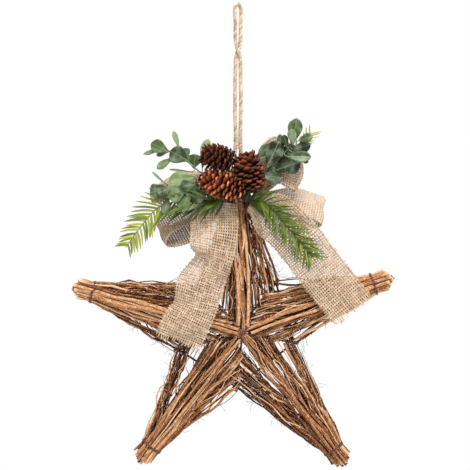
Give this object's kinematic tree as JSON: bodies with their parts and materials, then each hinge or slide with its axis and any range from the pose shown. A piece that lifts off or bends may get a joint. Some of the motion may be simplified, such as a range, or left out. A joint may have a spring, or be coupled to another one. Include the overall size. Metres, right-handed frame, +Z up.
{
  "type": "twig star hanging decoration",
  "caption": "Hollow star of tied twig bundles on a black wire frame, hung by a jute rope loop, with a burlap bow, pine cones, leaves and fir sprigs on its top point.",
  "frame": {"origin": "inside top of the rope loop, where a hook or nail carries the star", "axes": "+Z up, +X to the viewer's right, the front with the bow faces -Y"},
  "size_m": [0.3454, 0.094, 0.5022],
  "materials": {
    "bark": "matte brown twig bark with beige cut ends",
    "frame_wire": "satin black paint on steel wire",
    "tie_wire": "dark reddish brown florist's wire",
    "jute": "hairy three-ply jute cord",
    "burlap": "open plain weave, natural tan",
    "cone_scale": "satin brown cone scales",
    "leaf": "artificial leaves, green with frosted patches",
    "needle": "artificial fir needles, fresh green"
  },
  "bodies": {
    "root": {"frame_link_right": "frame_wire", "frame_link_top": "frame_wire", "frame_link_left": "frame_wire", "frame_link_lower_left": "frame_wire", "frame_link_lower_right": "frame_wire", "frame_front": "frame_wire", "frame_back": "frame_wire", "twigs_right_front_a": "bark", "twigs_right_front_b": "bark", "twigs_right_back_a": "bark", "twigs_right_back_b": "bark", "twigs_top_front_a": "bark", "twigs_top_front_b": "bark", "twigs_top_back_a": "bark", "twigs_top_back_b": "bark", "twigs_left_front_a": "bark", "twigs_left_front_b": "bark", "twigs_left_back_a": "bark", "twigs_left_back_b": "bark", "twigs_lower_left_front_a": "bark", "twigs_lower_left_front_b": "bark", "twigs_lower_left_back_a": "bark", "twigs_lower_left_back_b": "bark", "twigs_lower_right_front_a": "bark", "twigs_lower_right_front_b": "bark", "twigs_lower_right_back_a": "bark", "twigs_lower_right_back_b": "bark", "tie_hub_front": "tie_wire", "tie_hub_back": "tie_wire", "tie_right": "tie_wire", "tie_top": "tie_wire", "tie_left": "tie_wire", "tie_lower_left": "tie_wire", "tie_lower_right": "tie_wire", "tie_corner_upper_right": "tie_wire", "tie_corner_upper_left": "tie_wire", "tie_corner_lower_left": "tie_wire", "tie_corner_bottom": "tie_wire", "tie_corner_lower_right": "tie_wire", "hanging_rope": "jute", "bow_knot": "burlap", "bow_loop_left_upper": "burlap", "bow_loop_left_lower": "burlap", "bow_loop_right_lower": "burlap", "bow_loop_right_upper": "burlap", "bow_tail_left": "burlap", "bow_tail_right": "burlap", "cone_dark": "cone_scale", "cone_front": "cone_scale", "cone_right": "cone_scale", "leaves_left_upper": "leaf", "leaves_left_lower": "leaf", "leaves_right": "leaf", "sprig_left": "needle", "sprig_right": "needle", "sprig_tip_right": "needle"}
  },
  "joints": []
}
